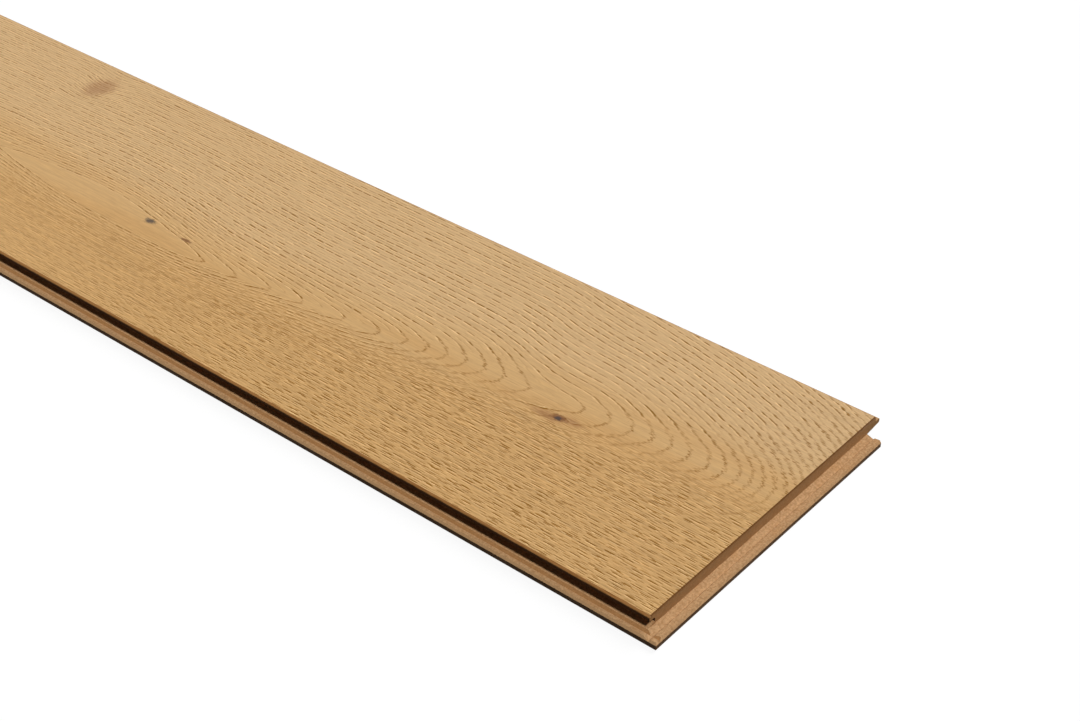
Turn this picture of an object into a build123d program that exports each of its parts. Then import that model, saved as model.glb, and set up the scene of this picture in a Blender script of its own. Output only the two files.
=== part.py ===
from build123d import *
import os

# Engineered floorboard: an oak face on a fibreboard core with a backing veneer, click edges all round.
# The board lies on its underside. X runs along it, Y across it from groove to tongue, Z up.
# The origin is on the underside, below the middle of the face.

os.makedirs("parts", exist_ok=True)

# Face, measured between the joint planes, and the three glued layers
face_length = 1200.0
face_width = 165.1
board_thickness = 9.5
wear_thickness = 1.2
backing_thickness = 2.0

# Bevels round the face
side_bevel = 0.8
end_bevel = 0.45

# Clearances in a closed joint
joint_play = 0.15
lock_play = 0.25
tip_play = 0.3

# Groove along one long side, depths counted down from the face
groove_roof = 2.6
groove_reach = 3.6
groove_nose_radius = 0.9

# Lower lip below the groove, with its channel and the ridge outside it
lip_depth = 6.2
lip_reach = 5.3
lip_rise = 1.1
lip_land = 0.9
channel_at = 2.4
channel_drop = 0.8
ridge_at = 2.8
ridge_width = 1.7
ridge_rise = 0.6
lip_edge_land = 0.2

# Tongue along the other long side
tongue_tip_radius = 0.8
heel_clearance = 0.05
wall_gap = 1.1

# Lip across the near end, with its channel and locking ridge
end_lip_depth = 6.1
end_lip_reach = 7.3
end_channel_at = 3.3
end_channel_drop = 1.15
end_ridge_at = 4.0
end_ridge_drop = 0.35
end_crest_at = 6.5
end_crest_drop = 0.1
end_wall_gap = 0.4

# Largest share of a wall that a round on it may take
round_share = 0.45

# Length and width of the blank beyond the finished board
trim_allowance = 20.0

# Heights of the two glue lines
core_bottom = backing_thickness
core_top = board_thickness - wear_thickness

# The groove's floor rises from the lip to its rounded back
groove_back_bottom = lip_depth - lip_rise
nose_round = min(groove_nose_radius, round_share * (groove_back_bottom - groove_roof))

# The tongue fills the groove less its clearances
tongue_reach = groove_reach - tip_play
tongue_top = groove_roof + joint_play
tongue_bottom = groove_back_bottom - joint_play
tip_round = min(tongue_tip_radius, round_share * (tongue_bottom - tongue_top))

# The far end laps over the next board's end lip
end_channel_depth = end_lip_depth + end_channel_drop
end_ridge_depth = end_lip_depth + end_ridge_drop
end_crest_depth = end_lip_depth + end_crest_drop
end_wall_setback = end_lip_reach + end_wall_gap

# The wall behind the tongue stands clear of the next board's lip, and the slope above it of both lips
channel_depth = lip_depth + channel_drop
ridge_top = channel_depth - ridge_rise
wall_setback = lip_reach + wall_gap
heel_depth = min(lip_depth, ridge_top, end_lip_depth, end_crest_depth) - heel_clearance

# The lip's outer edge stops just above the glue line of the backing
lip_edge_depth = board_thickness - backing_thickness - lip_edge_land


def groove_side(outward, depth):
    """Point of the cross-section by its distance outward from the groove's joint plane and its depth."""
    return (-face_width / 2 - outward, board_thickness - depth)


def tongue_side(outward, depth):
    """Point of the cross-section by its distance outward from the tongue's joint plane and its depth."""
    return (face_width / 2 + outward, board_thickness - depth)


def near_end(outward, depth):
    """Point of the lengthwise section by its distance outward from the near end's joint plane."""
    return (face_length / 2 + outward, board_thickness - depth)


def far_end(outward, depth):
    """Point of the lengthwise section by its distance outward from the far end's joint plane."""
    return (-face_length / 2 - outward, board_thickness - depth)


# Where the wall under the far end meets the groove's joint plane, seen from above
far_end_corner = (-face_length / 2 + end_wall_setback, -face_width / 2)

# Cross-section that the long sides are milled to
with BuildSketch(Plane.YZ) as across:
    with BuildLine():
        Polyline(
            groove_side(-side_bevel, 0),
            groove_side(0, side_bevel),
            groove_side(0, groove_roof),
            groove_side(-groove_reach, groove_roof),
            groove_side(-groove_reach, groove_back_bottom),
            groove_side(0, lip_depth),
            groove_side(lip_land, lip_depth),
            groove_side(channel_at, channel_depth),
            groove_side(ridge_at, ridge_top),
            groove_side(ridge_at + ridge_width, ridge_top),
            groove_side(lip_reach, lip_edge_depth),
            groove_side(lip_reach, board_thickness),
            tongue_side(-wall_setback, board_thickness),
            tongue_side(-wall_setback, heel_depth),
            tongue_side(tongue_reach, tongue_bottom),
            tongue_side(tongue_reach, tongue_top),
            tongue_side(0, tongue_top),
            tongue_side(0, side_bevel),
            tongue_side(-side_bevel, 0),
            close=True,
        )
    make_face()
    nose_middle = groove_side(-groove_reach, (groove_roof + groove_back_bottom) / 2)
    nose_corners = across.vertices().sort_by_distance(nose_middle)[:2]
    fillet(nose_corners, radius=nose_round)
    tip_corners = across.vertices().group_by(Axis.X)[-1]
    fillet(tip_corners, radius=tip_round)

# Lengthwise section that the ends are milled to
with BuildSketch(Plane.XZ) as along:
    with BuildLine():
        Polyline(
            near_end(-end_bevel, 0),
            near_end(0, end_bevel),
            near_end(0, end_lip_depth),
            near_end(end_channel_at, end_channel_depth),
            near_end(end_ridge_at, end_ridge_depth),
            near_end(end_crest_at, end_crest_depth),
            near_end(end_lip_reach, lip_edge_depth),
            near_end(end_lip_reach, board_thickness),
            far_end(-end_wall_setback, board_thickness),
            far_end(-end_wall_setback, end_crest_depth - joint_play),
            far_end(-end_crest_at, end_crest_depth - joint_play),
            far_end(-(end_ridge_at - lock_play), end_ridge_depth - joint_play),
            far_end(-(end_channel_at - lock_play), end_channel_depth - lock_play),
            far_end(0, end_lip_depth - joint_play),
            far_end(0, end_bevel),
            far_end(-end_bevel, 0),
            close=True,
        )
    make_face()

# Corner where the lip is sawn off, so that the far end can lap over the next board
with BuildSketch(Plane.XY) as lip_stop:
    with Locations(far_end_corner):
        Rectangle(trim_allowance, trim_allowance, align=(Align.MAX, Align.MAX))

half_blank_length = face_length / 2 + trim_allowance
half_blank_width = face_width / 2 + trim_allowance

# Oak face, bevelled on its four edges
with BuildPart() as wear_layer:
    extrude(across.sketch, amount=half_blank_length, both=True)
    extrude(along.sketch, amount=half_blank_width, both=True, mode=Mode.INTERSECT)
    split(bisect_by=Plane.XY.offset(core_top), keep=Keep.TOP)
wear_layer.part.label = "oak_wear_layer"
export_step(wear_layer.part, "parts/oak_wear_layer.step")

# Fibreboard core, which carries the groove, the tongue and both lips
with BuildPart() as core:
    extrude(across.sketch, amount=half_blank_length, both=True)
    extrude(along.sketch, amount=half_blank_width, both=True, mode=Mode.INTERSECT)
    extrude(lip_stop.sketch, amount=board_thickness, mode=Mode.SUBTRACT)
    split(bisect_by=Plane.XY.offset(core_top), keep=Keep.BOTTOM)
    split(bisect_by=Plane.XY.offset(core_bottom), keep=Keep.TOP)
core.part.label = "fibreboard_core"
export_step(core.part, "parts/fibreboard_core.step")

# Backing veneer under the core and its lips
with BuildPart() as backing:
    extrude(across.sketch, amount=half_blank_length, both=True)
    extrude(along.sketch, amount=half_blank_width, both=True, mode=Mode.INTERSECT)
    split(bisect_by=Plane.XY.offset(core_bottom), keep=Keep.BOTTOM)
backing.part.label = "backing_veneer"
export_step(backing.part, "parts/backing_veneer.step")
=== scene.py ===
"""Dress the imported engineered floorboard: brushed oak face, fibreboard core and backing veneer.

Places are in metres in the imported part's frame: X along the board towards its lip end, Y across it
towards its tongue, Z up. The oak's figure is marked out on the face in millimetres, along the board
from its lip end and across it from its groove side.
"""

import logging
import math
from dataclasses import dataclass
from enum import Enum
from functools import partial, reduce

import bmesh
import bpy
import numpy as np
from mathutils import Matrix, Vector


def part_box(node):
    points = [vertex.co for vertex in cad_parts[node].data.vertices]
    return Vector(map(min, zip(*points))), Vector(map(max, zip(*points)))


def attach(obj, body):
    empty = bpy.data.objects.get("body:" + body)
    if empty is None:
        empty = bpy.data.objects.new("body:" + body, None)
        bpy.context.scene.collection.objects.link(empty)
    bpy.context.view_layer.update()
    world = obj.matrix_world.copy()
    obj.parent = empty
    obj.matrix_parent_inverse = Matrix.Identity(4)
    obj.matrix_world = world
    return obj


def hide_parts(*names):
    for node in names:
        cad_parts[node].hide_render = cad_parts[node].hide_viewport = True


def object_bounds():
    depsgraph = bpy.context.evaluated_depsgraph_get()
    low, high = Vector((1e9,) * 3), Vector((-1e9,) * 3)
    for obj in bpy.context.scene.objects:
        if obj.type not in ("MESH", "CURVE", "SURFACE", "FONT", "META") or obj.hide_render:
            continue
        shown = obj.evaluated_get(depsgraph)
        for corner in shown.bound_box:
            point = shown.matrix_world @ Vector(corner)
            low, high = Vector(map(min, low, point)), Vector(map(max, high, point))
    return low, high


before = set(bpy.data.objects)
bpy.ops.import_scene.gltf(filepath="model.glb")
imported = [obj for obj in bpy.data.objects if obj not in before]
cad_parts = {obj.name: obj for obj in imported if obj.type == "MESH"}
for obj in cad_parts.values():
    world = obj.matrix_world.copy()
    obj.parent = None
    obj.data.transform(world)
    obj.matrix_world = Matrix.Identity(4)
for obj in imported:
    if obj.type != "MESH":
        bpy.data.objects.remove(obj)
cad_low, cad_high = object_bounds()

MM = 0.001
SAME_HEIGHT = 1e-9
RING_COUNT = "ring_count"
RINGS_PER_MM_ALONG = "rings_per_mm_along"
RINGS_PER_MM_ACROSS = "rings_per_mm_across"
FROM_HEART = "from_heart"
BAKE_MAP = "OFBake"

Colour = tuple[float, float, float]
Point = tuple[float, float, float]
Socket = bpy.types.NodeSocket

log = logging.getLogger("floorboard")


class Layer(Enum):
    """The board's glued layers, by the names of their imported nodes."""

    OAK = "oak_wear_layer"
    CORE = "fibreboard_core"
    BACKING = "backing_veneer"


def paint(red: int, green: int, blue: int) -> Colour:
    """Turn a display colour into the linear one that a shader takes.

    Args:
        red: Red, from 0 to 255.
        green: Green, from 0 to 255.
        blue: Blue, from 0 to 255.

    Returns:
        The linear colour.
    """
    shares = [part / 255 for part in (red, green, blue)]
    return tuple(s / 12.92 if s <= 0.04045 else ((s + 0.055) / 1.055) ** 2.4 for s in shares)


def flowing(places: np.ndarray, at: np.ndarray, values: np.ndarray) -> np.ndarray:
    """Run a smooth curve through values given at a few places.

    Args:
        places: Where the curve is read.
        at: Rising places of the given values.
        values: The given values.

    Returns:
        The curve's value at each place.
    """
    slopes = np.gradient(values, at)
    first = np.clip(np.searchsorted(at, places) - 1, 0, len(at) - 2)
    gap = at[first + 1] - at[first]
    t = (places - at[first]) / gap
    start = (1 + 2 * t) * (1 - t) ** 2 * values[first] + t * (1 - t) ** 2 * gap * slopes[first]
    end = t**2 * (3 - 2 * t) * values[first + 1] + t**2 * (t - 1) * gap * slopes[first + 1]
    return start + end


@dataclass(frozen=True)
class Ramp:
    """A smooth change from a low to a high level as a value goes from start to end."""

    start: float
    end: float
    low: float = 0.0
    high: float = 1.0


@dataclass(frozen=True)
class Clouds:
    """Cloudy noise: size of its clouds in millimetres, finer clouds on top, shift of the pattern."""

    pitch: Point
    detail: float = 0.0
    offset: float = 0.0


@dataclass(frozen=True)
class KnotLook:
    """How knots of one tone look: their colour, how much wood they hide and how they fade out."""

    colour: Colour
    cover: float
    fade: Ramp


class KnotTone(Enum):
    """Looks that a knot or mark in the oak can have."""

    CHARRED = KnotLook(paint(62, 58, 58), 0.86, Ramp(0.45, 1.4, 1.0, 0.0))
    UMBER = KnotLook(paint(118, 74, 44), 0.86, Ramp(0.45, 1.4, 1.0, 0.0))
    RUSSET = KnotLook(paint(140, 92, 56), 0.52, Ramp(0.45, 1.9, 1.0, 0.0))


@dataclass(frozen=True)
class GrainStation:
    """The year rings at one place along the board, counted outward from the heart of the figure."""

    along: float
    heart: float
    heart_ring: float
    tongue_ring: float
    groove_ring: float
    roundness: float


@dataclass(frozen=True)
class Knot:
    """A knot or mark in the oak, in millimetres, and the rings it pushes aside."""

    along: float
    across: float
    half_length: float
    half_width: float
    tone: KnotTone
    rings_bent: float = 0.0


@dataclass(frozen=True)
class OakFigure:
    """The flat-sawn figure of the oak face: nested arches round a long island, with a few knots."""

    width: float = 165.1
    island_ring: float = -0.35
    bend_reach: float = 2.2
    stations: tuple[GrainStation, ...] = (
        GrainStation(0, 89, 25.0, 41.0, 45.6, 0.28),
        GrainStation(24, 89, 20.8, 38.3, 45.0, 0.28),
        GrainStation(57, 87.5, 17.0, 35.0, 44.1, 0.26),
        GrainStation(102, 83.5, 13.0, 32.2, 42.5, 0.25),
        GrainStation(131, 81, 12.0, 30.8, 41.2, 0.235),
        GrainStation(145, 79.6, 11.0, 30.2, 40.5, 0.225),
        GrainStation(157, 78.5, 9.9, 29.6, 40.0, 0.22),
        GrainStation(212, 69.5, 5.0, 28.8, 38.0, 0.12),
        GrainStation(258, 65, 3.0, 28.5, 36.8, 0.08),
        GrainStation(322, 58, 0.0, 28.2, 35.0, 0.07),
        GrainStation(405, 61, -2.6, 27.8, 33.4, 0.06),
        GrainStation(490, 65, 0.0, 27.6, 32.4, 0.06),
        GrainStation(620, 70, 3.2, 27.8, 31.8, 0.08),
        GrainStation(800, 78, 5.8, 28.4, 32.6, 0.12),
        GrainStation(1000, 83, 8.4, 29.4, 34.4, 0.16),
        GrainStation(1200, 79, 11.0, 30.6, 36.0, 0.2),
    )
    knots: tuple[Knot, ...] = (
        Knot(112, 72.8, 6.5, 2.0, KnotTone.RUSSET),
        Knot(101, 75.8, 5.0, 1.7, KnotTone.RUSSET),
        Knot(107, 74.3, 4.2, 2.0, KnotTone.UMBER),
        Knot(107, 74.0, 1.7, 1.4, KnotTone.CHARRED, 1.4),
        Knot(370, 67, 3.7, 1.9, KnotTone.CHARRED),
        Knot(342.5, 66.3, 3.6, 0.9, KnotTone.UMBER),
        Knot(501, 143, 6.6, 8.0, KnotTone.RUSSET, 1.2),
        Knot(842, 116, 4.5, 4.0, KnotTone.UMBER, 1.3),
    )

    def read(self, name: str, along: np.ndarray) -> np.ndarray:
        """Read one of the stations' values along the board.

        Args:
            name: Name of the value.
            along: Millimetres from the lip end.

        Returns:
            The value at each place.
        """
        at = np.array([station.along for station in self.stations])
        return flowing(along, at, np.array([getattr(station, name) for station in self.stations]))

    def rings(self, along: np.ndarray, across: np.ndarray) -> np.ndarray:
        """Count the year rings at places on the face.

        Args:
            along: Millimetres from the lip end.
            across: Millimetres from the groove side.

        Returns:
            The ring count at each place: whole numbers lie on ring lines.
        """
        heart = self.read("heart", along)
        heart_ring = self.read("heart_ring", along)
        roundness = self.read("roundness", along)
        on_tongue_side = across > heart
        span = np.where(on_tongue_side, self.width - heart, heart)
        edge_ring = np.where(
            on_tongue_side, self.read("tongue_ring", along), self.read("groove_ring", along)
        )
        out = np.abs(across - heart) / span
        arch = (np.hypot(out, roundness) - roundness) / (np.hypot(1, roundness) - roundness)
        count = heart_ring + (edge_ring - heart_ring) * arch
        for knot in self.knots:
            ahead = (along - knot.along) / (knot.half_length * self.bend_reach)
            aside = (across - knot.across) / (knot.half_width * self.bend_reach)
            count = count + knot.rings_bent * np.exp(-(ahead**2) - aside**2)
        return np.maximum(count, self.island_ring)


class NodeBench:
    """A material being made: places shader nodes, joins them and hands back their sockets."""

    def __init__(self, name: str) -> None:
        """Start a material with a plain surface shader.

        Args:
            name: Name of the material.
        """
        self.material = bpy.data.materials.new(name)
        self.material.use_nodes = True
        self.nodes = self.material.node_tree.nodes
        self.links = self.material.node_tree.links
        self.surface = self.nodes["Principled BSDF"]

    def feed(self, socket: Socket, value: "Socket | float | tuple[float, ...]") -> None:
        """Join a socket to another one, or set it.

        Args:
            socket: The input to feed.
            value: The output to join it to, or a number, colour or vector.
        """
        if isinstance(value, bpy.types.NodeSocket):
            self.links.new(value, socket)
        elif socket.type == "RGBA":
            socket.default_value = (*value, 1.0)
        else:
            socket.default_value = value

    def maths(self, operation: str, *values: "Socket | float") -> Socket:
        """Place a sum.

        Args:
            operation: Blender's name for the sum.
            *values: What it works on.

        Returns:
            Its result.
        """
        node = self.nodes.new("ShaderNodeMath")
        node.operation = operation
        for socket, value in zip(node.inputs, values):
            self.feed(socket, value)
        return node.outputs[0]

    def vector(self, operation: str, *values: "Socket | Point") -> Socket:
        """Place a sum of vectors.

        Args:
            operation: Blender's name for the sum.
            *values: What it works on.

        Returns:
            Its result.
        """
        node = self.nodes.new("ShaderNodeVectorMath")
        node.operation = operation
        for socket, value in zip(node.inputs, values):
            self.feed(socket, value)
        return node.outputs["Value" if operation == "LENGTH" else "Vector"]

    def times(self, *values: "Socket | float") -> Socket:
        """Multiply values."""
        return reduce(partial(self.maths, "MULTIPLY"), values)

    def most(self, *values: "Socket | float") -> Socket:
        """Pick the largest of some values."""
        return reduce(partial(self.maths, "MAXIMUM"), values)

    def swing(self, value: Socket, amount: float) -> Socket:
        """Turn a value round a half into a swing of an amount to both sides of zero."""
        return self.maths("MULTIPLY_ADD", value, amount, -amount / 2)

    def ease(self, value: Socket, ramp: Ramp) -> Socket:
        """Ease from one level to another.

        Args:
            value: The value that the level goes by.
            ramp: The change of level.

        Returns:
            The level.
        """
        node = self.nodes.new("ShaderNodeMapRange")
        node.interpolation_type = "SMOOTHSTEP"
        numbers = (value, ramp.start, ramp.end, ramp.low, ramp.high)
        for socket, number in zip(node.inputs, numbers):
            self.feed(socket, number)
        return node.outputs[0]

    def blend(
        self, share: "Socket | float", first: "Socket | Colour", second: "Socket | Colour"
    ) -> Socket:
        """Blend two colours.

        Args:
            share: How much of the second colour shows.
            first: The first colour.
            second: The second colour.

        Returns:
            The blended colour.
        """
        node = self.nodes.new("ShaderNodeMix")
        node.data_type = "RGBA"
        colours = [socket for socket in node.inputs if socket.type == "RGBA"]
        self.feed(node.inputs[0], share)
        self.feed(colours[0], first)
        self.feed(colours[1], second)
        return next(socket for socket in node.outputs if socket.type == "RGBA")

    def shade(self, colour: Socket, level: Socket) -> Socket:
        """Make a colour lighter or darker by multiplying it by a level."""
        return self.vector("MULTIPLY", colour, level)

    def places(self) -> Socket:
        """Give the place on the board in millimetres."""
        node = self.nodes.new("ShaderNodeTexCoord")
        return self.vector("MULTIPLY", node.outputs["Object"], (1 / MM, 1 / MM, 1 / MM))

    def apart(self, vector: Socket) -> list[Socket]:
        """Take a vector apart.

        Args:
            vector: The vector.

        Returns:
            Its X, Y and Z.
        """
        node = self.nodes.new("ShaderNodeSeparateXYZ")
        self.feed(node.inputs[0], vector)
        return list(node.outputs)

    def facing(self) -> list[Socket]:
        """Give how far the surface faces along X, Y and Z, whichever way it points."""
        node = self.nodes.new("ShaderNodeNewGeometry")
        return [self.maths("ABSOLUTE", part) for part in self.apart(node.outputs["True Normal"])]

    def reading(self, name: str) -> Socket:
        """Read a value that the mesh carries.

        Args:
            name: Name of the value.

        Returns:
            The value.
        """
        node = self.nodes.new("ShaderNodeAttribute")
        node.attribute_name = name
        return node.outputs["Fac"]

    def noise(self, places: Socket, clouds: Clouds) -> Socket:
        """Place cloudy noise that is stretched along the axes.

        Args:
            places: Places in millimetres.
            clouds: The clouds of the noise.

        Returns:
            Values round a half.
        """
        stretch = tuple(1 / size for size in clouds.pitch)
        offset = (clouds.offset, clouds.offset, clouds.offset)
        node = self.nodes.new("ShaderNodeTexNoise")
        self.feed(node.inputs["Vector"], self.vector("MULTIPLY_ADD", places, stretch, offset))
        self.feed(node.inputs["Scale"], 1.0)
        self.feed(node.inputs["Detail"], clouds.detail)
        return node.outputs["Fac"]

    def chance(self, value: Socket) -> Socket:
        """Give each whole number its own random value.

        Args:
            value: The number, whose fraction is dropped.

        Returns:
            A value from 0 to 1.
        """
        node = self.nodes.new("ShaderNodeTexWhiteNoise")
        node.noise_dimensions = "1D"
        self.feed(node.inputs["W"], self.maths("FLOOR", value))
        return node.outputs["Value"]

    def chances(self, columns: Socket, rows: Socket) -> list[Socket]:
        """Give each cell of a pattern three random values from 0 to 1.

        Args:
            columns: Place along the pattern, counted in cells.
            rows: Place across the pattern, counted in cells.

        Returns:
            The three values.
        """
        cell = self.nodes.new("ShaderNodeCombineXYZ")
        self.feed(cell.inputs[0], self.maths("FLOOR", columns))
        self.feed(cell.inputs[1], self.maths("FLOOR", rows))
        node = self.nodes.new("ShaderNodeTexWhiteNoise")
        node.noise_dimensions = "3D"
        self.feed(node.inputs["Vector"], cell.outputs[0])
        return self.apart(node.outputs["Color"])

    def from_middle(self, cells: Socket) -> Socket:
        """Give the way from the middle of a cell: 0 there, 1 at its two ends."""
        return self.maths("ABSOLUTE", self.swing(self.maths("FRACT", cells), 2.0))

    def finish(
        self, colour: Socket, roughness: Socket, height: Socket, specular: float
    ) -> bpy.types.Material:
        """Join the finish to the surface.

        Args:
            colour: Colour of the surface.
            roughness: Roughness of the surface.
            height: Height of its relief in millimetres.
            specular: Strength of its gloss.

        Returns:
            The finished material.
        """
        bump = self.nodes.new("ShaderNodeBump")
        self.feed(bump.inputs["Distance"], MM)
        self.feed(bump.inputs["Height"], height)
        self.feed(self.surface.inputs["Base Color"], colour)
        self.feed(self.surface.inputs["Roughness"], roughness)
        self.feed(self.surface.inputs["Specular IOR Level"], specular)
        self.feed(self.surface.inputs["Normal"], bump.outputs["Normal"])
        return self.material


@dataclass(frozen=True)
class GrainLines:
    """Lines of open pores along the rings, made up of dashes, in millimetres."""

    per_ring: int
    half_width: float
    dash_length: float
    dash_row: float
    scatter: float
    arch_share: float


@dataclass(frozen=True)
class PoreCuts:
    """Short open pores strewn along the grain, one to a cell of the pattern, in millimetres."""

    cell_length: float
    cell_width: float
    half_width: float
    side_play: float
    end_play: float
    ends: Ramp
    depths: Ramp
    offset: float = 0.0


@dataclass(frozen=True)
class OakFinish:
    """Brushed oak under matt lacquer: open pores in each ring's early wood, smooth late wood."""

    # Wood
    honey: Colour = paint(198, 156, 102)
    straw: Colour = paint(202, 163, 111)
    amber: Colour = paint(197, 155, 100)
    # Partly the wood's own tone, partly painted sheen: paler, greyer wood towards the tongue side
    pale: Colour = paint(205, 170, 124)
    cloud: Clouds = Clouds((240, 17, 17), 2, 1.7)
    straw_share: Ramp = Ramp(0.36, 0.64)
    amber_share: float = 0.8
    pale_share: Ramp = Ramp(2, 40, 0.0, 0.9)

    # Fibres and streaks, which shade the wood
    fibre: Clouds = Clouds((9, 0.8, 0.8), 2, 2.2)
    streak: Clouds = Clouds((48, 1.1, 1.1), 2, 5.5)
    streak_halves: tuple[float, float] = (0.3, 0.42)
    thread: Clouds = Clouds((20, 0.42, 0.42), 1, 4.4)
    thread_swing: float = 0.75

    # Open pores, in lines along the rings and strewn along the grain, each with a painted highlight
    # beside it where its relief would catch the light
    pore: Colour = paint(128, 82, 0)
    # Painted highlight: the pale colour laid beside each pore
    painted_pore_highlight: Colour = paint(246, 210, 154)
    ring_lines: GrainLines = GrainLines(1, 0.38, 6.4, 1.6, 0.45, 0.7)
    between_lines: GrainLines = GrainLines(2, 0.27, 6.4, 1.6, 0.5, 0.0)
    bold_cuts: PoreCuts = PoreCuts(
        9.0, 1.9, 0.25, 1.15, 1.8, Ramp(1.8, 3.6, 1.0, 0.0), Ramp(0.0, 0.8, 0.1, 1.0)
    )
    fine_cuts: PoreCuts = PoreCuts(
        6.0, 1.2, 0.22, 0.54, 1.2, Ramp(1.2, 2.4, 1.0, 0.0), Ramp(0.0, 0.8, 0.1, 0.7), 0.37
    )
    strip_core: float = 0.3
    strip_rim: float = 1.4
    # Where the painted highlight lies beside a pore, and how strongly it shows
    highlight_offset: float = 0.5
    highlight_share: float = 0.8
    cut_highlight_share: float = 0.6
    row_stagger: float = 7.3
    dash_ends: Ramp = Ramp(0.55, 1.0, 1.0, 0.2)
    dash_depths: Ramp = Ramp(0.0, 0.6, 0.2, 1.0)

    # Stitches, where a ring crosses the grain
    crossing: Ramp = Ramp(0.25, 0.6)
    crowding: Ramp = Ramp(0.55, 0.95, 1.0, 0.0)
    least_slope: float = 0.02
    stitch_pitch: float = 1.0
    stitch_shift: float = 1.6
    stitch_ends: Ramp = Ramp(0.35, 1.0, 1.0, 0.3)
    stitch_depths: Ramp = Ramp(0.0, 0.8, 0.4, 1.0)

    # How the grain strays, and where on the face its pores are strong or weak
    sway: Clouds = Clouds((90, 12, 12), 0, 6.6)
    sway_width: float = 1.6
    wander: Clouds = Clouds((60, 7, 7), 1)
    wander_rings: float = 0.4
    line_strength: tuple[Ramp, Ramp] = (Ramp(60, 380, 0.75, 1.0), Ramp(-300, -80, 1.0, 0.75))
    cut_strength: tuple[Ramp, Ramp] = (Ramp(60, 480, 0.25, 1.0), Ramp(-300, -80, 0.9, 0.25))
    tongue_half: Ramp = Ramp(-16, -2)
    groove_half: Ramp = Ramp(-26, 2, 1.0, 0.0)
    tongue_lines: float = 0.6
    heart_lines: Ramp = Ramp(-40, -14, 0.12, 0.6)
    ring_depths: Ramp = Ramp(0.0, 1.0, 0.75, 1.0)
    patch: Clouds = Clouds((45, 6, 6), 1, 7.7)
    patch_depths: Ramp = Ramp(0.33, 0.6, 0.6, 1.0)
    between_halves: tuple[float, float] = (0.6, 0.1)
    between_fade: Ramp = Ramp(230, 480, 1.0, 0.3)
    cut_halves: tuple[float, float] = (0.1, 1.15)

    # Rims of the knots
    knot_rim: Clouds = Clouds((1.6, 0.9, 0.9), 2)
    knot_raggedness: float = 1.4

    # Bevels and sawn sides, by the way they face
    side_edge: Colour = paint(176, 120, 66)
    side_share: Ramp = Ramp(0.35, 0.6, 0.0, 0.85)
    end_edge: Colour = paint(98, 60, 24)
    end_share: Ramp = Ramp(0.35, 0.6, 0.0, 0.95)
    sawn_edge: Colour = paint(152, 110, 68)
    sawn_share: Ramp = Ramp(0.3, 0.5, 1.0, 0.0)

    # Relief and gloss
    pore_depth: float = 0.06
    fibre_height: float = 0.03
    roughness: Ramp = Ramp(0.0, 1.0, 0.5, 0.72)
    specular: float = 0.12

    def material(self, figure: OakFigure) -> bpy.types.Material:
        """Make the oak's material.

        Args:
            figure: The figure of the face, for its knots.

        Returns:
            The material.
        """
        bench = OakBench(self)
        pores, highlights = bench.open_pores()
        colour = bench.wood(pores, highlights)
        colour = bench.knots(figure, colour)
        colour = bench.edges(colour)
        roughness = bench.ease(pores, self.roughness)
        sunk = bench.times(pores, -self.pore_depth)
        height = bench.maths("MULTIPLY_ADD", bench.fibre, self.fibre_height, sunk)
        return bench.finish(colour, roughness, height, self.specular)


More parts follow.
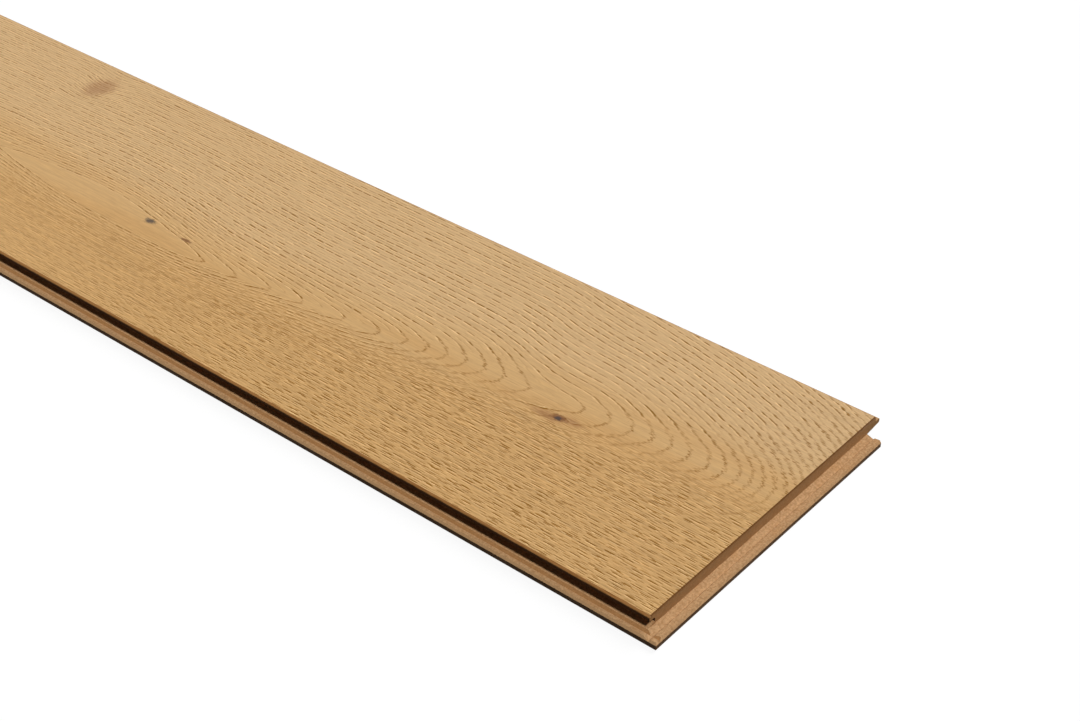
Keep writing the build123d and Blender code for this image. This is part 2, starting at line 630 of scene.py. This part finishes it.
class OakBench(NodeBench):
    """The oak's material being made, with what it goes by at each place on the face."""

    def __init__(self, oak: OakFinish) -> None:
        """Start the material with the nodes that tell where on the face a place is.

        Args:
            oak: The finish to make.
        """
        super().__init__("brushed oak")
        self.oak = oak
        self.place = self.places()
        self.along, _, _ = self.apart(self.place)
        self.from_heart = self.reading(FROM_HEART)
        self.groove_half = self.ease(self.from_heart, oak.groove_half)
        self.line_strength = self.most(*[self.ease(self.along, ramp) for ramp in oak.line_strength])
        self.cut_strength = self.most(*[self.ease(self.along, ramp) for ramp in oak.cut_strength])
        sway = self.nodes.new("ShaderNodeCombineXYZ")
        self.feed(sway.inputs[1], self.swing(self.noise(self.place, oak.sway), oak.sway_width))
        self.grain = self.vector("ADD", self.place, sway.outputs[0])
        self.grain_along, self.grain_across, _ = self.apart(self.grain)
        self.fibre = self.noise(self.grain, oak.fibre)

    def halves(self, levels: tuple[float, float]) -> Socket:
        """Go from a level on the tongue half of the face to one on its groove half."""
        tongue, groove = levels
        return self.maths("MULTIPLY_ADD", self.groove_half, groove - tongue, tongue)

    def cells(self, length: float, width: float, offset: float = 0.0) -> tuple[Socket, Socket]:
        """Part the face into rows of cells along the grain, each row starting somewhere else.

        Args:
            length: Length of a cell.
            width: Width of a row.
            offset: Moves the rows, so that two patterns differ.

        Returns:
            The column and the row, counted in cells.
        """
        rows = self.maths("MULTIPLY_ADD", self.grain_across, 1 / width, offset)
        start = self.times(self.chance(rows), self.oak.row_stagger)
        return self.maths("MULTIPLY_ADD", self.grain_along, 1 / length, start), rows

    def strip(self, away: Socket, half_width: float) -> Socket:
        """Draw a strip with soft rims.

        Args:
            away: Way from the middle of the strip, in millimetres.
            half_width: Half the strip's width.

        Returns:
            1 in the strip, 0 away from it.
        """
        core, rim = self.oak.strip_core * half_width, self.oak.strip_rim * half_width
        return self.ease(self.maths("ABSOLUTE", away), Ramp(core, rim, 1.0, 0.0))

    def grain_lines(self, count: Socket, lines: GrainLines) -> tuple[Socket, Socket]:
        """Draw pores along the rings: dashes along the grain, and stitches where a ring crosses it.

        Args:
            count: The ring count.
            lines: How many lines a ring has, and their dashes.

        Returns:
            The shares of pore and of painted highlight beside it.
        """
        oak = self.oak
        columns, rows = self.cells(lines.dash_length, lines.dash_row)
        step, depth, _ = self.chances(columns, rows)
        stitches = self.times(self.grain_across, 1 / oak.stitch_pitch)
        shift, weight, _ = self.chances(columns, stitches)

        slope_along = self.reading(RINGS_PER_MM_ALONG)
        slope_across = self.reading(RINGS_PER_MM_ACROSS)
        square_across = self.times(slope_across, slope_across)
        squares = self.maths("MULTIPLY_ADD", slope_along, slope_along, square_across)
        slope = self.most(self.maths("SQRT", squares), oak.least_slope)
        turn = self.maths("DIVIDE", self.maths("ABSOLUTE", slope_along), slope)
        crossing = self.ease(turn, oak.crossing)

        lines_per_mm = self.times(slope, lines.per_ring)
        counted = self.times(count, lines.per_ring)
        lines_away = self.maths("SUBTRACT", counted, self.maths("ROUND", counted))
        dash_step = self.swing(step, lines.scatter)
        stitch_step = self.swing(shift, oak.stitch_shift)
        ragged = self.maths("MULTIPLY_ADD", crossing, stitch_step, dash_step)
        away = self.maths("ADD", self.maths("DIVIDE", lines_away, lines_per_mm), ragged)
        spread = self.maths("ADD", crossing, 1.0)
        pore = self.strip(self.maths("DIVIDE", away, spread), lines.half_width)
        # Painted highlight: a strip shifted to one side of each pore
        lip = self.strip(self.maths("ADD", away, oak.highlight_offset), lines.half_width)

        dash_end = self.ease(self.from_middle(columns), oak.dash_ends)
        dash = self.times(dash_end, self.ease(depth, oak.dash_depths))
        stitch_end = self.ease(self.from_middle(stitches), oak.stitch_ends)
        stitch = self.times(stitch_end, self.ease(weight, oak.stitch_depths), lines.arch_share)
        to_stitch = self.maths("SUBTRACT", stitch, dash)
        share = self.maths("MULTIPLY_ADD", crossing, to_stitch, dash)
        uncrowded = self.ease(lines_per_mm, oak.crowding)
        straight = self.maths("SUBTRACT", 1.0, crossing)
        return self.times(pore, share, uncrowded), self.times(lip, dash, uncrowded, straight)

    def pore_cuts(self, cuts: PoreCuts) -> tuple[Socket, Socket]:
        """Draw short pores strewn along the grain.

        Args:
            cuts: The pores and their cells.

        Returns:
            The shares of pore and of painted highlight beside it.
        """
        columns, rows = self.cells(cuts.cell_length, cuts.cell_width, cuts.offset)
        aside, ahead, depth = self.chances(columns, rows)
        in_row = self.swing(self.maths("FRACT", rows), cuts.cell_width)
        in_column = self.swing(self.maths("FRACT", columns), cuts.cell_length)
        sideways = self.maths("SUBTRACT", in_row, self.swing(aside, cuts.side_play))
        lengthwise = self.maths("SUBTRACT", in_column, self.swing(ahead, cuts.end_play))
        pore_end = self.ease(self.maths("ABSOLUTE", lengthwise), cuts.ends)
        share = self.times(pore_end, self.ease(depth, cuts.depths))
        pore = self.strip(sideways, cuts.half_width)
        # Painted highlight: a strip shifted to one side of each pore
        lip = self.strip(self.maths("ADD", sideways, self.oak.highlight_offset), cuts.half_width)
        return self.times(pore, share), self.times(lip, share, self.oak.cut_highlight_share)

    def open_pores(self) -> tuple[Socket, Socket]:
        """Draw all the open pores of the face.

        Returns:
            The shares of pore and of painted highlight beside it.
        """
        oak = self.oak
        wander = self.swing(self.noise(self.place, oak.wander), oak.wander_rings)
        count = self.maths("ADD", self.reading(RING_COUNT), wander)
        tongue_half = self.ease(self.from_heart, oak.tongue_half)
        near_heart = self.ease(self.from_heart, oak.heart_lines)
        along_rings = self.times(
            self.maths("MULTIPLY_ADD", tongue_half, oak.tongue_lines, near_heart),
            self.ease(self.chance(count), oak.ring_depths),
            self.ease(self.noise(self.place, oak.patch), oak.patch_depths),
            self.line_strength,
        )
        between_rings = self.times(
            self.halves(oak.between_halves),
            self.ease(self.along, oak.between_fade),
            self.line_strength,
        )
        strewn = self.times(self.halves(oak.cut_halves), self.cut_strength)
        drawn = [
            (*self.grain_lines(count, oak.ring_lines), along_rings),
            (*self.grain_lines(count, oak.between_lines), between_rings),
            (*self.pore_cuts(oak.bold_cuts), strewn),
            (*self.pore_cuts(oak.fine_cuts), strewn),
        ]
        pores = self.most(*[self.times(pore, strength) for pore, _, strength in drawn])
        # Painted highlights beside the pores, kept off the pores themselves
        highlights = self.most(*[self.times(lip, strength) for _, lip, strength in drawn])
        return pores, self.most(self.maths("SUBTRACT", highlights, pores), 0.0)

    def wood(self, pores: Socket, highlights: Socket) -> Socket:
        """Colour the wood with its pores and streaks.

        Args:
            pores: Share of open pore.
            highlights: Share of painted highlight beside the pores.

        Returns:
            The colour.
        """
        oak = self.oak
        cloud = self.noise(self.place, oak.cloud)
        colour = self.blend(self.ease(cloud, oak.straw_share), oak.honey, oak.straw)
        colour = self.blend(self.times(self.groove_half, oak.amber_share), colour, oak.amber)
        # Paler towards the tongue side: partly wood tone, partly painted sheen
        colour = self.blend(self.ease(self.from_heart, oak.pale_share), colour, oak.pale)
        # Painted highlight beside the pores
        colour = self.blend(self.times(highlights, oak.highlight_share), colour, oak.painted_pore_highlight)
        colour = self.blend(pores, colour, oak.pore)

        thread = self.swing(self.noise(self.grain, oak.thread), oak.thread_swing)
        threads = self.times(thread, self.groove_half, self.cut_strength)
        streak = self.noise(self.grain, oak.streak)
        both = self.maths("ADD", self.swing(self.fibre, 1.0), self.swing(streak, 1.0))
        streaky = self.halves(oak.streak_halves)
        level = self.maths("MULTIPLY_ADD", both, streaky, self.maths("ADD", threads, 1.0))
        return self.shade(colour, level)

    def knots(self, figure: OakFigure, colour: Socket) -> Socket:
        """Lay the knots over the wood.

        Args:
            figure: The figure that the knots are in.
            colour: Colour of the wood.

        Returns:
            The colour with the knots.
        """
        half_board = cad_face_length() / 2 / MM
        rim = self.noise(self.place, self.oak.knot_rim)
        ragged = self.swing(rim, self.oak.knot_raggedness)
        for knot in figure.knots:
            look = knot.tone.value
            middle = (half_board - knot.along, knot.across - figure.width / 2, 0.0)
            squeeze = (1 / knot.half_length, 1 / knot.half_width, 0.0)
            away = self.vector("MULTIPLY", self.vector("SUBTRACT", self.place, middle), squeeze)
            out = self.maths("ADD", self.vector("LENGTH", away), ragged)
            share = self.times(self.ease(out, look.fade), look.cover)
            colour = self.blend(share, colour, look.colour)
        return colour

    def edges(self, colour: Socket) -> Socket:
        """Colour the bevels and the sawn sides.

        Args:
            colour: Colour of the face.

        Returns:
            The colour with the edges.
        """
        facing_x, facing_y, facing_z = self.facing()
        colour = self.blend(self.ease(facing_y, self.oak.side_share), colour, self.oak.side_edge)
        colour = self.blend(self.ease(facing_x, self.oak.end_share), colour, self.oak.end_edge)
        return self.blend(self.ease(facing_z, self.oak.sawn_share), colour, self.oak.sawn_edge)


@dataclass(frozen=True)
class FibreboardFinish:
    """Raw milled fibreboard: tan felted fibres with warm and dark flecks."""

    # Felted fibres
    tan: Colour = paint(194, 154, 111)
    brown: Colour = paint(172, 131, 90)
    orange: Colour = paint(186, 138, 90)
    dark_fibre: Colour = paint(140, 100, 62)
    felt: Clouds = Clouds((1.1, 1.1, 1.1), 4)
    cloud: Clouds = Clouds((9, 9, 5), 3, 4.2)
    fleck: Clouds = Clouds((1.0, 0.8, 0.6), 2, 8.8)
    strand: Clouds = Clouds((0.5, 1.3, 0.4), 2, 6.1)
    brown_share: Ramp = Ramp(0.34, 0.68)
    orange_share: Ramp = Ramp(0.48, 0.7, 0.0, 0.4)
    dark_share: Ramp = Ramp(0.6, 0.75, 0.0, 0.4)
    strand_shade: Ramp = Ramp(0.25, 0.75, 0.88, 1.1)

    # Milled surfaces, by the way they face, with painted shade on slopes and long sides and painted
    # light on the lip's outer flank
    sawn: Colour = paint(160, 118, 75)
    sawn_share: Ramp = Ramp(0.3, 0.6, 0.75, 0.0)
    # Painted shade: a darker colour on slopes that face aside and up, such as the lip's channel
    slope: Colour = paint(166, 119, 72)
    sloping_aside: Ramp = Ramp(0.2, 0.45)
    sloping_up: Ramp = Ramp(0.4, 0.6)
    # Painted light: a lighter colour on the steep outer flank of the lip, where it would lie in
    # shade
    painted_flank_light: Colour = paint(208, 166, 120)
    steep_aside: Ramp = Ramp(0.55, 0.7)
    # How much of the painted shade and painted light the slopes take
    painted_slope_cover: float = 0.8
    # Painted shade: a dark colour on the upright long sides and groove walls, where shade falls
    painted_side_shade: Colour = paint(72, 46, 26)
    painted_side_shade_share: Ramp = Ramp(0.8, 0.95, 0.0, 0.85)

    # Relief and gloss
    fibre_height: float = 0.02
    roughness: Ramp = Ramp(0.3, 0.7, 0.78, 0.92)
    specular: float = 0.12

    def material(self) -> bpy.types.Material:
        """Make the fibreboard's material.

        Returns:
            The material.
        """
        bench = NodeBench("raw fibreboard")
        places = bench.places()
        _, facing_y, facing_z = bench.facing()
        felt = bench.noise(places, self.felt)
        cloud = bench.noise(places, self.cloud)
        fleck = bench.noise(places, self.fleck)
        strand = bench.noise(places, self.strand)
        colour = bench.blend(bench.ease(felt, self.brown_share), self.tan, self.brown)
        colour = bench.blend(bench.ease(cloud, self.orange_share), colour, self.orange)
        colour = bench.blend(bench.ease(fleck, self.dark_share), colour, self.dark_fibre)
        colour = bench.blend(bench.ease(facing_z, self.sawn_share), colour, self.sawn)
        # Painted shade on slopes that face aside and up
        shaded_slope = bench.times(
            bench.ease(facing_y, self.sloping_aside), bench.ease(facing_z, self.sloping_up)
        )
        colour = bench.blend(bench.times(shaded_slope, self.painted_slope_cover), colour, self.slope)
        # Painted light on the steep outer flank
        painted_flank_light = bench.times(shaded_slope, bench.ease(facing_y, self.steep_aside))
        colour = bench.blend(bench.times(painted_flank_light, self.painted_slope_cover), colour, self.painted_flank_light)
        # Painted shade on upright faces along the long sides
        colour = bench.blend(bench.ease(facing_y, self.painted_side_shade_share), colour, self.painted_side_shade)
        colour = bench.shade(colour, bench.ease(strand, self.strand_shade))
        roughness = bench.ease(felt, self.roughness)
        height = bench.times(bench.maths("ADD", felt, strand), self.fibre_height)
        return bench.finish(colour, roughness, height, self.specular)


@dataclass(frozen=True)
class VeneerFinish:
    """Dark sawn veneer with its grain along the board."""

    walnut: Colour = paint(138, 103, 67)
    bark: Colour = paint(108, 77, 47)
    pore: Colour = paint(72, 48, 27)
    edge: Colour = paint(58, 38, 20)
    streak: Clouds = Clouds((160, 5, 1.5), 3)
    line: Clouds = Clouds((28, 0.7, 0.7), 2, 3.6)
    dash: Clouds = Clouds((4, 0.35, 0.35), 1, 7.1)
    bark_share: Ramp = Ramp(0.35, 0.65)
    pore_share: Ramp = Ramp(0.58, 0.7)
    pore_cover: float = 0.7
    edge_share: Ramp = Ramp(0.3, 0.6, 0.6, 0.0)
    line_shade: Ramp = Ramp(0.25, 0.75, 0.86, 1.12)
    pore_depth: float = 0.05
    roughness: Ramp = Ramp(0.3, 0.7, 0.7, 0.86)
    specular: float = 0.2

    def material(self) -> bpy.types.Material:
        """Make the backing veneer's material.

        Returns:
            The material.
        """
        bench = NodeBench("sawn backing veneer")
        places = bench.places()
        _, _, facing_z = bench.facing()
        streak = bench.noise(places, self.streak)
        line = bench.noise(places, self.line)
        pores = bench.ease(bench.noise(places, self.dash), self.pore_share)
        colour = bench.blend(bench.ease(streak, self.bark_share), self.walnut, self.bark)
        colour = bench.blend(bench.times(pores, self.pore_cover), colour, self.pore)
        colour = bench.blend(bench.ease(facing_z, self.edge_share), colour, self.edge)
        colour = bench.shade(colour, bench.ease(line, self.line_shade))
        roughness = bench.ease(line, self.roughness)
        return bench.finish(colour, roughness, bench.times(pores, -self.pore_depth), self.specular)


@dataclass(frozen=True)
class FloorFinish:
    """Pale floor that shows white to the camera and throws little light back up at the board."""

    shown: Colour = (0.35, 0.35, 0.35)
    glow: float = 0.67
    bounce: Colour = (0.06, 0.06, 0.06)

    def material(self) -> bpy.types.Material:
        """Make the floor's material."""
        material = bpy.data.materials.new("pale floor")
        material.use_nodes = True
        nodes, links = material.node_tree.nodes, material.node_tree.links
        nodes.clear()
        seen = show_to_camera(nodes, links)
        bounce = nodes.new("ShaderNodeBsdfDiffuse")
        bounce.inputs["Color"].default_value = (*self.bounce, 1.0)
        shown = nodes.new("ShaderNodeBsdfDiffuse")
        shown.inputs["Color"].default_value = (*self.shown, 1.0)
        glow = nodes.new("ShaderNodeEmission")
        glow.inputs["Strength"].default_value = self.glow
        both = nodes.new("ShaderNodeAddShader")
        links.new(shown.outputs[0], both.inputs[0])
        links.new(glow.outputs[0], both.inputs[1])
        pick = nodes.new("ShaderNodeMixShader")
        links.new(seen, pick.inputs["Fac"])
        links.new(bounce.outputs[0], pick.inputs[1])
        links.new(both.outputs[0], pick.inputs[2])
        output = nodes.new("ShaderNodeOutputMaterial")
        links.new(pick.outputs[0], output.inputs["Surface"])
        return material


def show_to_camera(nodes: bpy.types.Nodes, links: bpy.types.NodeLinks) -> Socket:
    """Tell rays that show the background from those that light the board.

    Args:
        nodes: Nodes of the tree it is placed in.
        links: Links of that tree.

    Returns:
        1 for a ray that shows the background, else 0.
    """
    path = nodes.new("ShaderNodeLightPath")
    seen = path.outputs["Is Camera Ray"]
    for kind in ("Is Glossy Ray", "Is Transmission Ray"):
        either = nodes.new("ShaderNodeMath")
        either.operation = "MAXIMUM"
        links.new(seen, either.inputs[0])
        links.new(path.outputs[kind], either.inputs[1])
        seen = either.outputs[0]
    return seen


def cad_face_length() -> float:
    """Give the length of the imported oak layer."""
    low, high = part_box(Layer.OAK.value)
    return high.x - low.x


@dataclass
class OakFace:
    """The oak wear layer, as a fine mesh with bevelled edges and the relief of brushed rings.

    The worn middle and spread are parts of a ring, and the crease angle is in degrees.
    """

    side_bevel: float = 0.8 * MM
    end_bevel: float = 0.45 * MM
    cells_along: int = 420
    cells_across: int = 212
    brushed_depth: float = 0.07 * MM
    calm_edge: float = 2.0 * MM
    worn_middle: float = 0.16
    worn_spread: float = 0.14
    weld_reach: float = 1e-4 * MM
    crease_angle: float = 28.0
    figure: OakFigure = OakFigure()
    finish: OakFinish = OakFinish()

    def profile(
        self, low: float, high: float, base: float, top: float, drops: tuple[float, ...], cells: int
    ) -> tuple[np.ndarray, np.ndarray]:
        """Set out one direction of the mesh: up a side, over the bevel, across the face and down.

        Args:
            low: Lower edge of the layer.
            high: Upper edge of the layer.
            base: Height of its underside.
            top: Height of its face.
            drops: Depths below the face at which the bevel has a row, outermost first.
            cells: How many cells the face has.

        Returns:
            The places of the rows and the heights that they reach at most.
        """
        bevel = drops[0]
        insets = [0.0] + [bevel - drop for drop in drops]
        heights = [base] + [top - drop for drop in drops]
        face = np.linspace(low + bevel, high - bevel, cells + 1)
        places = np.concatenate([
            [low + inset for inset in insets], face, [high - inset for inset in reversed(insets)]
        ])
        return places, np.concatenate([heights, np.full(cells + 1, top), heights[::-1]])

    def build(self) -> bpy.types.Object:
        """Make the mesh of the oak layer.

        Returns:
            The new piece.
        """
        low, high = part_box(Layer.OAK.value)
        base, top = low.z, high.z
        x_rows, x_tops = self.profile(low.x, high.x, base, top, (self.end_bevel,), self.cells_along)
        y_rows, y_tops = self.profile(
            low.y, high.y, base, top, (self.side_bevel, self.end_bevel), self.cells_across
        )
        x, y = np.meshgrid(x_rows, y_rows, indexing="ij")
        along, across = (high.x - x) / MM, (y - low.y) / MM
        z = np.minimum.outer(x_tops, y_tops)
        z = z - np.where(z >= top - SAME_HEIGHT, self.relief(along, across), 0.0)

        count_x, count_y = x.shape
        corner = np.arange(count_x * count_y).reshape(count_x, count_y)
        cells = np.stack(
            [corner[:-1, :-1], corner[1:, :-1], corner[1:, 1:], corner[:-1, 1:]], axis=-1
        ).reshape(-1, 4)
        underside = np.stack(
            [corner[1:-2, 0], corner[1:-2, -1], corner[2:-1, -1], corner[2:-1, 0]], axis=-1
        )
        ends = [
            [*corner[0, :], corner[1, -1], corner[1, 0]],
            [*corner[-1, ::-1], corner[-2, 0], corner[-2, -1]],
        ]
        mesh = bpy.data.meshes.new("oak_face")
        points = np.stack([x, y, z], axis=-1).reshape(-1, 3)
        mesh.from_pydata(points.tolist(), [], cells.tolist() + underside.tolist() + ends)
        self.mark_rings(mesh, along, across)
        self.lay_out(mesh, x_rows, y_rows, x_tops, y_tops, len(cells))
        self.close(mesh)
        return bpy.data.objects.new("oak_face", mesh)

    def mark_rings(self, mesh: bpy.types.Mesh, along: np.ndarray, across: np.ndarray) -> None:
        """Give the mesh the ring count at its points, its slopes, and the way from the heart line.

        Args:
            mesh: The mesh.
            along: Millimetres from the lip end.
            across: Millimetres from the groove side.
        """
        step = 0.5
        rings = self.figure.rings
        marks = {
            RING_COUNT: rings(along, across),
            RINGS_PER_MM_ALONG: rings(along - step, across) - rings(along + step, across),
            RINGS_PER_MM_ACROSS: rings(along, across + step) - rings(along, across - step),
            FROM_HEART: across - self.figure.read("heart", along),
        }
        for name, values in marks.items():
            mark = mesh.attributes.new(name, "FLOAT", "POINT")
            mark.data.foreach_set("value", values.ravel().astype(np.float32))

    def relief(self, along: np.ndarray, across: np.ndarray) -> np.ndarray:
        """Work out how far brushing has worn the early wood below the face.

        Args:
            along: Millimetres from the lip end.
            across: Millimetres from the groove side.

        Returns:
            The depth at each place.
        """
        rings = self.figure.rings(along, across)
        worn = np.exp(-(((rings % 1.0) - self.worn_middle) / self.worn_spread) ** 2)
        inward = [along, along.max() - along, across, across.max() - across]
        edge = np.minimum.reduce(inward) * MM
        calm = np.clip((edge - self.side_bevel) / self.calm_edge, 0.0, 1.0)
        return self.brushed_depth * worn * calm * (rings > 0)

    def lay_out(
        self,
        mesh: bpy.types.Mesh,
        x_rows: np.ndarray,
        y_rows: np.ndarray,
        x_tops: np.ndarray,
        y_tops: np.ndarray,
        cells: int,
    ) -> None:
        """Lay the surface out flat for its textures, the face stretched to fill the sheet.

        Args:
            mesh: The mesh.
            x_rows: Places of its rows along the board.
            y_rows: Places of its rows across the board.
            x_tops: Heights that the rows along reach.
            y_tops: Heights that the rows across reach.
            cells: How many faces the upper surface has; the underside's follow.
        """
        face_share, gap = 0.965, 0.006

        def unrolled(rows: np.ndarray, tops: np.ndarray) -> np.ndarray:
            """Measure along the rows over edges and face, as a share of the whole way."""
            way = np.concatenate([[0], np.cumsum(np.hypot(np.diff(rows), np.diff(tops)))])
            return way / way[-1]

        u, v = np.meshgrid(unrolled(x_rows, x_tops), unrolled(y_rows, y_tops), indexing="ij")
        upper = np.stack([u, v * face_share], axis=-1).reshape(-1, 2)
        flat_v = (np.tile(y_rows, len(x_rows)) - y_rows[0]) / np.ptp(y_rows)
        lower = np.stack([upper[:, 0], face_share + gap + flat_v * (1 - face_share - gap)], axis=-1)
        corners = np.empty(len(mesh.loops), dtype=np.int64)
        mesh.loops.foreach_get("vertex_index", corners)
        on_face = np.arange(len(corners)) < cells * 4
        sheet = np.where(on_face[:, None], upper[corners], lower[corners])
        mesh.uv_layers.new(name=BAKE_MAP).uv.foreach_set("vector", sheet.ravel().astype(np.float32))

    def close(self, mesh: bpy.types.Mesh) -> None:
        """Weld the corners where the rows meet, and keep the bevels crisp.

        Args:
            mesh: The mesh.
        """
        work = bmesh.new()
        work.from_mesh(mesh)
        bmesh.ops.remove_doubles(work, verts=work.verts, dist=self.weld_reach)
        bmesh.ops.recalc_face_normals(work, faces=work.faces)
        work.to_mesh(mesh)
        work.free()
        mesh.shade_smooth()
        mesh.set_sharp_from_angle(angle=math.radians(self.crease_angle))

    def dress(self) -> bpy.types.Object:
        """Build the oak face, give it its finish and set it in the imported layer's place.

        Returns:
            The finished piece.
        """
        piece = self.build()
        bpy.context.scene.collection.objects.link(piece)
        piece.data.materials.append(self.finish.material(self.figure))
        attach(piece, "root")
        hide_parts(Layer.OAK.value)
        return piece


@dataclass
class PackedLayer:
    """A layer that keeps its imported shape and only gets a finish."""

    layer: Layer
    finish: FibreboardFinish | VeneerFinish

    def dress(self) -> bpy.types.Object:
        """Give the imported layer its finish.

        Returns:
            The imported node's object.
        """
        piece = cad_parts[self.layer.value]
        material = self.finish.material()
        if not piece.material_slots:
            piece.data.materials.append(material)
        for slot in piece.material_slots:
            slot.material = material
        return piece


@dataclass(frozen=True)
class SoftLamp:
    """A far soft box, by the way that leads to it, its breadth in degrees and its strength."""

    name: str
    toward: Point
    breadth: float
    strength: float
    stand_off: float = 3.0

    def hang(self) -> None:
        """Hang the lamp."""
        light = bpy.data.lights.new(self.name, "SUN")
        light.angle = math.radians(self.breadth)
        light.energy = self.strength
        lamp = bpy.data.objects.new(self.name, light)
        way = Vector(self.toward).normalized()
        lamp.location = way * self.stand_off
        lamp.rotation_euler = (-way).to_track_quat("-Z", "Y").to_euler()
        bpy.context.scene.collection.objects.link(lamp)


@dataclass(frozen=True)
class PhotoCamera:
    """The camera where the picture was taken from, level and looking down at the lip end."""

    place: Point = (0.91634, -0.52774, 0.53165)
    heading: float = 129.873
    dip: float = 36.220
    lens: float = 64.19
    film_width: float = 36.0

    def set_up(self) -> None:
        """Put the camera in the scene."""
        data = bpy.data.cameras.new("photo_camera")
        data.sensor_fit = "HORIZONTAL"
        data.sensor_width = self.film_width
        data.lens = self.lens
        camera = bpy.data.objects.new("photo_camera", data)
        camera.location = self.place
        camera.rotation_euler = (math.radians(90 - self.dip), 0.0, math.radians(self.heading - 90))
        bpy.context.scene.collection.objects.link(camera)
        bpy.context.scene.camera = camera


@dataclass
class Studio:
    """Pale floor, white surroundings, soft boxes above and behind, and the camera."""

    floor_reach: float = 8.0
    floor_drop: float = 0.02 * MM
    ambient: float = 0.035
    floor: FloorFinish = FloorFinish()
    camera: PhotoCamera = PhotoCamera()
    lamps: tuple[SoftLamp, ...] = (
        SoftLamp("overhead", (0.46, 0.0, 0.89), 12.0, 2.6),
        SoftLamp("behind", (-0.1, 0.8, 0.6), 30.0, 1.1),
    )

    def lay_floor(self) -> None:
        """Lay the floor under the board."""
        reach = self.floor_reach
        mesh = bpy.data.meshes.new("floor")
        corners = [(-reach, -reach, 0), (reach, -reach, 0), (reach, reach, 0), (-reach, reach, 0)]
        mesh.from_pydata(corners, [], [(0, 1, 2, 3)])
        mesh.materials.append(self.floor.material())
        floor = bpy.data.objects.new("floor", mesh)
        floor.location.z = cad_low.z - self.floor_drop
        bpy.context.scene.collection.objects.link(floor)

    def surround(self) -> None:
        """Make the surroundings white to the camera and dim to the board."""
        world = bpy.data.worlds.new("studio")
        bpy.context.scene.world = world
        world.use_nodes = True
        nodes, links = world.node_tree.nodes, world.node_tree.links
        background = nodes["Background"]
        background.inputs["Color"].default_value = (1.0, 1.0, 1.0, 1.0)
        level = nodes.new("ShaderNodeMapRange")
        level.inputs["To Min"].default_value = self.ambient
        links.new(show_to_camera(nodes, links), level.inputs["Value"])
        links.new(level.outputs[0], background.inputs["Strength"])

    def set_up(self) -> None:
        """Set up the floor, the surroundings, the lamps and the camera."""
        bpy.context.scene.view_settings.view_transform = "Standard"
        self.lay_floor()
        self.surround()
        for lamp in self.lamps:
            lamp.hang()
        self.camera.set_up()


def main() -> None:
    """Dress the board's layers from the face down, then set up the studio."""
    logging.basicConfig(level=logging.INFO, format="%(message)s")
    layers = (
        OakFace(),
        PackedLayer(Layer.CORE, FibreboardFinish()),
        PackedLayer(Layer.BACKING, VeneerFinish()),
    )
    for layer in layers:
        piece = layer.dress()
        log.info("%s: %d faces", piece.name, len(piece.data.polygons))
    Studio().set_up()


if __name__ == "__main__":
    main()
